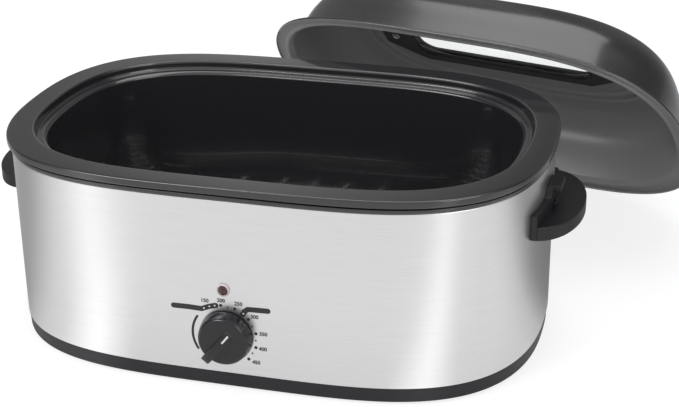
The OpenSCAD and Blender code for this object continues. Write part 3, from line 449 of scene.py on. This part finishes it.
# ---------- end handles ----------
def handle(side, node):
    """D-shaped shelf with a wall plate, a lid rest and a stop, drawn for the right and mirrored."""
    def at(p):
        return (side * p[0], p[1], p[2])

    def dee(k, n=40):
        points = []
        for i in range(n + 1):
            t = math.radians(-90 + 180 * i / n)
            reach = (HAND_REACH + DEE_SUNK - k) * max(math.cos(t), 0) ** DEE_POWER
            points.append((PLATE_X - DEE_SUNK + reach, (HAND_L - k) * math.sin(t)))
        return points

    def box(low, high):
        (x0, y0, z0), (x1, y1, z1) = low, high
        return prism("box", [(x0, y0), (x1, y0), (x1, y1), (x0, y1)], z0, z1, "roaster", at)
    z0, z1 = HAND_TOP - HAND_BAND, HAND_TOP
    shelf = prism(node + "_shelf", dee(0), z0, z1, "roaster", at)
    cut(shelf, prism("hollow", dee(HAND_WALL), z0 - 5, z1 - HAND_WALL, "roaster", at))
    bevel(shelf, 1.0, 3)
    dress(shelf, "plastic", "black_plastic", node)
    middle, half = (REST_LOW + REST_HIGH) / 2, (REST_HIGH - REST_LOW) / 2
    slope = smooth([(half, REST_TOP), (half + 3.5, 163), (half + 7, 160), (half + 13, 158.6),
                    (half + 24, 157.8), (HAND_L + 3 + abs(middle), 156.5)], 5)

    def plate_top(y):
        if y > REST_HIGH:
            return max(HAND_TOP + PLATE_SILL, REST_TOP - (y - REST_HIGH) * PLATE_FALL)
        y = abs(y - middle)
        if y <= half:
            return REST_TOP
        for (y0, h0), (y1, h1) in zip(slope, slope[1:]):
            if y <= y1:
                return h0 + (h1 - h0) * (y - y0) / (y1 - y0)
        return slope[-1][1]
    end = HAND_L + 1
    sill_y = REST_HIGH + (REST_TOP - HAND_TOP - PLATE_SILL) / PLATE_FALL
    ys = sorted({middle - y for y, _ in slope if middle - y > -end} | {-end, end, REST_HIGH, sill_y}
                | {i * HAND_L / 24 for i in range(-24, 25)})
    verts, foot = [], z0 + PLATE_RISE
    for y in ys:
        back, top = wall_x(y) + GAP, plate_top(y)
        verts += [at(p) for p in ((back + PLATE_T, y, foot), (back + PLATE_T, y, top),
                                  (back, y, top), (back, y, foot))]
    faces = ring_faces(len(ys), 4, False) + [(0, 1, 2, 3), tuple(4 * (len(ys) - 1) + i for i in range(4))]
    plate = make(node + "_plate", verts, faces, "roaster")
    bevel(plate, 0.9, 3, 28)
    dress(plate, "plastic", "black_plastic")
    # the lid rest reaches out over the shelf, with a stop under it
    rest = box((PLATE_X + 0.6, REST_LOW, REST_TOP - 5.5),
               (PLATE_X + REST_OUT, REST_HIGH, REST_TOP + 0.4))
    rest.name = node + "_lid_rest"
    bevel(rest, 1.0, 3)
    dress(rest, "plastic", "black_plastic")
    stop = box((PLATE_X + 2, REST_LOW + 2, z1 - 1), (PLATE_X + REST_OUT - 4, REST_LOW + 11, z1 + 5.5))
    stop.name = node + "_stop"
    bevel(stop, 0.9, 3)
    dress(stop, "plastic", "black_plastic")


# ---------- knob ----------
def knob_at(p):
    """Knob coordinates: x right, y up, z out of the wall."""
    return (KNOB_X + p[0], -KNOB_BACK - p[2], KNOB_Z + p[1])


def knob_pieces():
    profile = soften([(6.5, 0), (KNOB_R - 0.6, 0), (KNOB_R, 0.8), (KNOB_R - 1.9, KNOB_H - 2.2),
                      (KNOB_R - 3.7, KNOB_H), (12, KNOB_H + 0.4), (0.01, KNOB_H + 0.6)], 1.2, 4, closed=False)
    disc = revolve("knob_disc", profile, "knob", knob_at)
    dress(disc, "knob", "knob_plastic", "control_knob")
    a = math.radians(OFF_ANGLE)

    def turned(u, v, h):
        return knob_at((u * math.cos(a) - v * math.sin(a), u * math.sin(a) + v * math.cos(a), h))
    slope_low, slope_end, bar_top = 12.9, -1.6, KNOB_H + BAR_H
    side_view = [(-BAR_BACK, 10), (-BAR_BACK, slope_low), (slope_end, bar_top), (BAR_REACH - 4.5, bar_top),
                 (BAR_REACH, bar_top - 2.6), (BAR_REACH, 10)]
    n = len(side_view)
    verts = [turned(u, s * BAR_W / 2, h) for s in (-1, 1) for u, h in side_view]
    faces = ring_faces(2, n, False) + [tuple(range(n)), tuple(range(n, 2 * n))]
    bar = make("knob_pointer", verts, faces, "knob")
    bevel(bar, 1.0, 3)
    dress(bar, "knob", "knob_plastic")
    # the white index lies on the slope at the pointer's hub end
    climb = (bar_top - slope_low) / (slope_end + BAR_BACK)
    mark = [(-10.8, -0.9), (-3.0, -0.9), (-3.0, 0.9), (-10.8, 0.9)]
    verts = [turned(u, v, slope_low + climb * (u + BAR_BACK) + proud)
             for proud in (-0.4, 0.14) for u, v in mark]
    index = make("knob_index", verts, ring_faces(2, 4, False) + [(0, 1, 2, 3), (4, 5, 6, 7)], "knob")
    bevel(index, 0.15, 2)
    dress(index, "white", "white_plastic")


# ---------- dial print ----------
INK = 0.1                                  # how far the print stands proud of the steel


def on_wall(x, z, proud):
    """A point on the front of the wrap."""
    return (x, -wall_y(x) - proud, z)


def patch(outline, proud):
    n = len(outline)
    verts = [on_wall(x, z, p) for p in (0.02, proud) for x, z in outline]
    return verts, ring_faces(2, n, False) + [tuple(range(n)), tuple(range(n, 2 * n))]


def dot(x, z, r, proud=INK):
    return patch([(x + r * math.cos(t * math.pi / 12), z + r * math.sin(t * math.pi / 12))
                  for t in range(24)], proud)


def stroke(points, half, proud=INK):
    """A flat line of even width with round ends, along points."""
    path = [Vector(p) for p in points]
    left, right = [], []
    for i, p in enumerate(path):
        d = (path[min(i + 1, len(path) - 1)] - path[max(i - 1, 0)]).normalized()
        side = Vector((-d.y, d.x)) * half
        left.append(p + side)
        right.append(p - side)
    ends = []
    for p, d in ((path[-1], path[-1] - path[-2]), (path[0], path[0] - path[1])):
        d = d.normalized()
        side = Vector((-d.y, d.x))
        ends.append([p + (side * math.cos(t) + d * math.sin(t)) * half
                     for t in (math.pi * k / 8 for k in range(1, 8))])
    return patch([tuple(p) for p in left + ends[0] + right[::-1] + ends[1]], proud)


DIAL_ANGLE = {150: 116.0, 200: 94.0, 250: 69.0, 300: 40.0, 350: 11.5, 400: -15.5, 450: -43.0}


def dial_point(angle, r=DIAL_R):
    return (DIAL_X + r * math.cos(math.radians(angle)), DIAL_Z + r * math.sin(math.radians(angle)))


def dial_print():
    marks = [dot(*dial_point(DIAL_ANGLE[n]), 1.55) for n in DIAL_ANGLE if n > 150]
    marks += [dot(*dial_point(a, DIAL_R - 0.9), 0.85) for a in (81.5, 26.0, -2.0, -29.0)]
    marks.append(stroke([dial_point(a, DIAL_R - 0.5) for a in range(146, 213, 3)], 1.15))
    marks.append(stroke([(-55.6, 80.4), (-42, 80.7), (-28.6, 80.3), (-21.5, 83.4), (-14.8, 85.3)],
                        TAG_HALF))
    marks.append(stroke([(10.4, 79.3), (12.4, 82.4), (15.4, 85.0), (22.4, 85.3), (34.4, 85.6)],
                        TAG_HALF))
    verts, faces = join(marks)
    dress(make("dial_marks", verts, faces, "roaster", smooth=False), "ink", "black_plastic")
    dots = [dot(x, z, 0.85, 0.16) for x, z in ((-26.3, 81.2), (-21.0, 83.6), (-15.8, 85.0), (11.2, 80.2))]
    verts, faces = join(dots)
    dress(make("dial_tag_dots", verts, faces, "roaster", smooth=False), "white", "white_plastic")
    places = {150: (-25.3, 88.9), 200: (-9.6, 90.8), 250: (6.8, 89.4), 300: (21.6, 78.0), 350: (29.4, 61.3),
              400: (28.6, 45.8), 450: (21.8, 31.1)}
    for value, (x, z) in places.items():
        curve = bpy.data.curves.new("numeral", "FONT")
        curve.body = str(value)
        curve.size = NUMERAL_SIZE
        curve.offset = NUMERAL_BOLD
        curve.align_x = curve.align_y = "CENTER"
        text = bpy.data.objects.new("numeral", curve)
        bpy.context.scene.collection.objects.link(text)
        bpy.context.view_layer.update()
        flat = bpy.data.meshes.new_from_object(text)
        bpy.data.objects.remove(text)
        verts = [on_wall(x + v.co.x, z + v.co.y, INK) for v in flat.vertices]
        faces = [tuple(p.vertices) for p in flat.polygons]
        dress(make(f"dial_number_{value}", verts, faces, "roaster", smooth=False), "ink", "black_plastic")


# ---------- lid ----------
LEAN, YAW = math.radians(LID_LEAN), math.radians(LID_YAW)
LID_REST = LB * math.cos(LEAN) - 0.4 * math.sin(LEAN)


def lid_at(p):
    """From the lid's own frame, roof up, to where it stands behind the roaster."""
    y = p[1] * math.sin(LEAN) + p[2] * math.cos(LEAN)
    z = p[2] * math.sin(LEAN) - p[1] * math.cos(LEAN)
    return (LID_X + p[0] * math.cos(YAW) - y * math.sin(YAW),
            LID_Y + p[0] * math.sin(YAW) + y * math.cos(YAW), LID_REST + z)


def lid_ring(k, z):
    """A ring of the lid, k in from its edge."""
    return (LA - k, LB - k, z)


def roof_ring(s, z):
    """A ring on the roof, from its shoulder at s = 0 to the window at s = 1."""
    return ((LA - 62) * (1 - s) + (WIN_L + 10) * s, (LB - 62) * (1 - s) + (WIN_W + 8) * s, z)


RIDGES = ((0.08, 0.12, 0.16, 0.20), (0.29, 0.33, 0.37, 0.41))
RIDGE_H = 1.8
SLOT_W, SLOT_L, SLOT_OUT, SLOT_TURN = 3.4, 15.0, 22.0, 62.0


def lid_pieces():
    f, h, t = LID_FLANGE, LID_H, LID_T
    dome_out = [lid_ring(f, 5.4), lid_ring(f + 2.5, 8), lid_ring(f + 5.5, h * 0.3), lid_ring(f + 9, h * 0.56),
                lid_ring(f + 14, h * 0.74), lid_ring(f + 22, h * 0.88), lid_ring(f + 33, h * 0.965),
                roof_ring(0, h + t - 0.2)]
    dome_in = [roof_ring(0, h - 0.4), lid_ring(f + 34, h * 0.965 - t), lid_ring(f + 23, h * 0.88 - t * 0.9),
               lid_ring(f + 15.2, h * 0.74 - t * 0.7), lid_ring(f + 10.2, h * 0.56),
               lid_ring(f + 6.7, h * 0.3),
               lid_ring(f + 3.7, 7.4)]
    outside = ([lid_ring(0, 0.4), lid_ring(0, 3.2), lid_ring(1, 4), lid_ring(f - 3, 4)] + smooth(dome_out, 5))
    # a bead runs round the flange's inner edge
    inside = smooth(dome_in, 5) + [
        lid_ring(f + 1.4, 4.4), lid_ring(f + 0.4, 2.8), lid_ring(f - 0.8, 1.5), lid_ring(f - 2.4, 1.3),
        lid_ring(f - 3.8, 2.0), lid_ring(f - 4.6, 2.8), lid_ring(t + 0.6, 2.8),
        lid_ring(t, 2.2), lid_ring(t, 0.4)]
    top = []
    for a, b, c, d in RIDGES:
        top += [(a, 0), (b, RIDGE_H), (c, RIDGE_H), (d, 0)]
    outside += [roof_ring(s, h + t + z) for s, z in top] + [roof_ring(1, h + t)]
    under = [roof_ring(1, h)] + [roof_ring(s, h + z) for s, z in top[::-1]]
    shell = sweep("lid_dome", soften(outside + under + inside, 1.2, 2), "lid", shift=lid_at)
    turn = math.radians(SLOT_TURN)

    def slot_at(p):
        return lid_at((EAR_L + SLOT_OUT + p[0] * math.cos(turn) - p[1] * math.sin(turn),
                       p[0] * math.sin(turn) + p[1] * math.cos(turn), h + p[2]))
    w, l = SLOT_W / 2, SLOT_L / 2
    slot = prism("steam", [(-w, -l), (w, -l), (w, l), (-w, l)], -15, 15, "lid", slot_at)
    cut(shell, slot)
    dress(shell, "lid_out", "lid_enamel", "lid_shell")
    shell.data.materials.append(MAT["lid_in"])
    shell.data.polygons.foreach_set("use_smooth", [True] * len(shell.data.polygons))
    middle = place(lid_at((0, 0, 20)))
    opening = (place(lid_at((0, 0, 0))) - place(lid_at((0, 0, 1)))).normalized()
    for face in shell.data.polygons:
        inward = (middle - face.center).dot(face.normal) > 0
        underside = face.normal.dot(opening) > 0.35 and (face.center - middle).dot(opening) > 0.01
        face.material_index = 1 if inward or underside else 0
    frame_top = h - GAP
    glass_z = frame_top - GLASS_T - GAP * 2
    trim = prism("window_trim", hexed(EAR_L, FRAME_W, EAR_W, WIN_L - 2), glass_z - FRAME_T, frame_top,
                 "lid", lid_at)
    opening_cut = prism("hole", rrect(WIN_L, WIN_W, WIN_W * 0.6), glass_z - 12, frame_top + 12, "lid", lid_at)
    seat = prism("seat", rrect(WIN_L + GLASS_LAP, WIN_W + GLASS_LAP, WIN_W * 0.8), glass_z - GAP,
                 frame_top + 12, "lid", lid_at)
    pockets = [prism("pocket", [(s * EAR_SCREW + 5 * math.cos(a), 5 * math.sin(a))
                                for a in (2 * math.pi * i / 32 for i in range(32))],
                     glass_z - 12, glass_z - FRAME_T + 1.4, "lid", lid_at) for s in (-1, 1)]
    cut(trim, opening_cut, seat, *pockets)
    bevel(trim, 0.8, 3)
    dress(trim, "plastic", "black_plastic", "window_frame")
    bead_path = [(x, y, glass_z - FRAME_T - 0.4)
                 for x, y in rrect(WIN_L + 2.2, WIN_W + 2.2, WIN_W * 0.65, 14)]
    verts, faces = tube(bead_path, 1.5, closed=True)
    bead = make("window_bead", [lid_at(v) for v in verts], faces, "lid")
    dress(bead, "plastic", "black_plastic")
    base = h + t + GAP
    ring = prism("grip_ring", hexed(EAR_L - 1, FRAME_W - 4, EAR_W, WIN_L + 2), base, base + EAR_T,
                 "lid", lid_at)
    ring_hole = prism("hole", rrect(WIN_L + 3, WIN_W + 3, WIN_W * 0.7), base - 9, base + 20, "lid", lid_at)
    cut(ring, ring_hole)
    bevel(ring, 1.0, 3)
    dress(ring, "plastic", "black_plastic")
    g = GRIP_H
    side_view = soften([(EAR_L - 6, 0), (EAR_L - 10, EAR_T + 5), (WIN_L + 4, g * 0.62),
                        (WIN_L - 16, g * 0.95), (WIN_L - 40, g + 1), (-WIN_L + 40, g + 1),
                        (-WIN_L + 16, g * 0.95), (-WIN_L - 4, g * 0.62), (-EAR_L + 10, EAR_T + 5),
                        (-EAR_L + 6, 0), (-WIN_L - 10, 0), (-WIN_L + 8, g * 0.62 - 3),
                        (-WIN_L + 40, g - GRIP_T), (WIN_L - 40, g - GRIP_T), (WIN_L - 8, g * 0.62 - 3),
                        (WIN_L + 10, 0)], 9, 6)
    n = len(side_view)
    verts = [lid_at((x, s * GRIP_W / 2, base + z)) for s in (-1, 1) for x, z in side_view]
    faces = ring_faces(2, n, False) + [tuple(range(n)), tuple(range(n, 2 * n))]
    grip = make("lid_grip", verts, faces, "lid")
    bevel(grip, 2.2, 4, 40)
    dress(grip, "plastic", "black_plastic", "lid_handle")


# ---------- scene ----------
CAM_AT = (413.2, -1307.05, 722.4)          # in the roaster's frame, in millimetres
CAM_YAW, CAM_PITCH, CAM_ROLL = 15.35, 24.03, -0.64
CAM_FOCAL_PX, IMAGE_W = 1507.7, 679.0
SENSOR = 36.0
FLOOR_SIZE, FLOOR_DROP = 12, 0.0002         # in metres
WORLD_LIGHT, FLOOR_TONE, FLOOR_GLOW = 0.42, 0.3, 0.78
LAMPS = (("key", (-1.3, -1.5, 1.9), (1.4, 1.0), 34), ("fill", (1.8, -1.2, 1.2), (1.2, 1.2), 12),
         ("top", (0.1, 0.5, 2.2), (2.0, 1.2), 22))   # offset and size in metres, and watts


def camera():
    y, p, r = (math.radians(a) for a in (CAM_YAW, CAM_PITCH, CAM_ROLL))
    back = Vector((math.sin(y) * math.cos(p), -math.cos(y) * math.cos(p), math.sin(p)))
    right = Vector((math.cos(y), math.sin(y), 0))
    up = back.cross(right)
    right, up = (math.cos(r) * right + math.sin(r) * up, math.cos(r) * up - math.sin(r) * right)
    data = bpy.data.cameras.new("camera")
    data.sensor_width = SENSOR
    data.lens = CAM_FOCAL_PX / IMAGE_W * SENSOR
    data.clip_end = 100
    cam = bpy.data.objects.new("camera", data)
    rot = Matrix((right, up, back)).transposed().to_4x4()
    cam.matrix_world = Matrix.Translation(place(CAM_AT)) @ rot
    bpy.context.scene.collection.objects.link(cam)
    bpy.context.scene.camera = cam


def area_lamp(name, at, target, size, watts):
    data = bpy.data.lights.new(name, "AREA")
    data.shape = "RECTANGLE"
    data.size, data.size_y = size
    data.energy = watts
    lamp = bpy.data.objects.new(name, data)
    lamp.location = at
    lamp.rotation_mode = "QUATERNION"
    lamp.rotation_quaternion = (Vector(target) - Vector(at)).to_track_quat("-Z", "Y")
    bpy.context.scene.collection.objects.link(lamp)


# how bright a studio wall a glossy surface sees, by compass direction in degrees from +X
STUDIO = ((-180, 0.16), (-169, 0.24), (-160, 0.5), (-150, 0.86), (-142, 1.02), (-131, 1.85), (-121, 0.96),
          (-60, 0.97), (-52, 1.0), (-43, 1.72), (-35, 0.98), (-10, 0.94), (2, 0.72), (9, 0.36), (17, 0.12),
          (32, 0.14), (60, 0.3), (85, 0.2), (97, 0.14), (109, 0.5), (117, 0.24), (130, 0.3), (150, 0.4),
          (168, 0.18), (180, 0.16))
RAMP_TOP = 2.0


def studio_level(nodes, links, around, plain, backdrop):
    """A strength: backdrop for a camera or transmission ray, STUDIO for a glossy ray, else plain."""
    compass = nodes.new("ShaderNodeTexGradient")
    compass.gradient_type = "RADIAL"
    links.new(around, compass.inputs["Vector"])
    levels = nodes.new("ShaderNodeValToRGB")
    ramp = levels.color_ramp
    ends = {-180: 0, 180: -1}
    for angle, level in STUDIO:
        position = (angle + 180) / 360
        stop = ramp.elements[ends[angle]] if angle in ends else ramp.elements.new(position)
        stop.position = position
        stop.color = [level / RAMP_TOP] * 3 + [1]
    links.new(compass.outputs["Fac"], levels.inputs["Fac"])
    path = nodes.new("ShaderNodeLightPath")

    def math_node(kind, *values):
        node = nodes.new("ShaderNodeMath")
        node.operation = kind
        for socket, value in zip(node.inputs, values):
            if isinstance(value, (int, float)):
                socket.default_value = value
            else:
                links.new(value, socket)
        return node.outputs[0]

    def choose(where, yes, no):
        """yes where the socket is 1, no where it is 0."""
        return math_node("ADD", math_node("MULTIPLY", where, yes),
                         math_node("MULTIPLY", math_node("SUBTRACT", 1.0, where), no))
    wall = math_node("MULTIPLY", levels.outputs["Color"], RAMP_TOP * min(backdrop, 1.0))
    seen = math_node("MAXIMUM", path.outputs["Is Camera Ray"], path.outputs["Is Transmission Ray"])
    return choose(seen, backdrop, choose(path.outputs["Is Glossy Ray"], wall, plain))


def surroundings():
    world = bpy.data.worlds.new("studio")
    bpy.context.scene.world = world
    world.use_nodes = True
    nodes, links = world.node_tree.nodes, world.node_tree.links
    light = nodes["Background"]
    light.inputs["Color"].default_value = (1, 1, 1, 1)
    coord = nodes.new("ShaderNodeTexCoord")
    level = studio_level(nodes, links, coord.outputs["Generated"], WORLD_LIGHT, 1.0)
    links.new(level, light.inputs["Strength"])

    bpy.ops.mesh.primitive_plane_add(size=FLOOR_SIZE, location=(0, 0, -FLOOR_DROP))
    floor = bpy.context.active_object
    floor.name = "floor"
    mat = bpy.data.materials.new("pale_floor")
    mat.use_nodes = True
    nodes, links = mat.node_tree.nodes, mat.node_tree.links
    bsdf = nodes["Principled BSDF"]
    bsdf.inputs["Base Color"].default_value = (FLOOR_TONE, FLOOR_TONE, FLOOR_TONE, 1)
    bsdf.inputs["Roughness"].default_value = 0.8
    bsdf.inputs["Specular IOR Level"].default_value = 0.0
    centre = nodes.new("ShaderNodeTexCoord")
    shift = nodes.new("ShaderNodeVectorMath")
    shift.operation = "SUBTRACT"
    shift.inputs[1].default_value = (HOME.x, HOME.y, 0)
    links.new(centre.outputs["Object"], shift.inputs[0])
    glow = nodes.new("ShaderNodeEmission")
    glow.inputs["Color"].default_value = (1, 1, 1, 1)
    links.new(studio_level(nodes, links, shift.outputs[0], 0.0, FLOOR_GLOW), glow.inputs["Strength"])
    both = nodes.new("ShaderNodeAddShader")
    links.new(bsdf.outputs[0], both.inputs[0])
    links.new(glow.outputs[0], both.inputs[1])
    links.new(both.outputs[0], nodes["Material Output"].inputs["Surface"])
    floor.data.materials.append(mat)
    middle = place((0, 0, 120))
    for name, offset, size, watts in LAMPS:
        area_lamp(name, middle + Vector(offset), middle, size, watts)


body_pieces()
pan_pieces()
handle(1, "right_handle")
handle(-1, "left_handle")
knob_pieces()
dial_print()
lid_pieces()
camera()
surroundings()
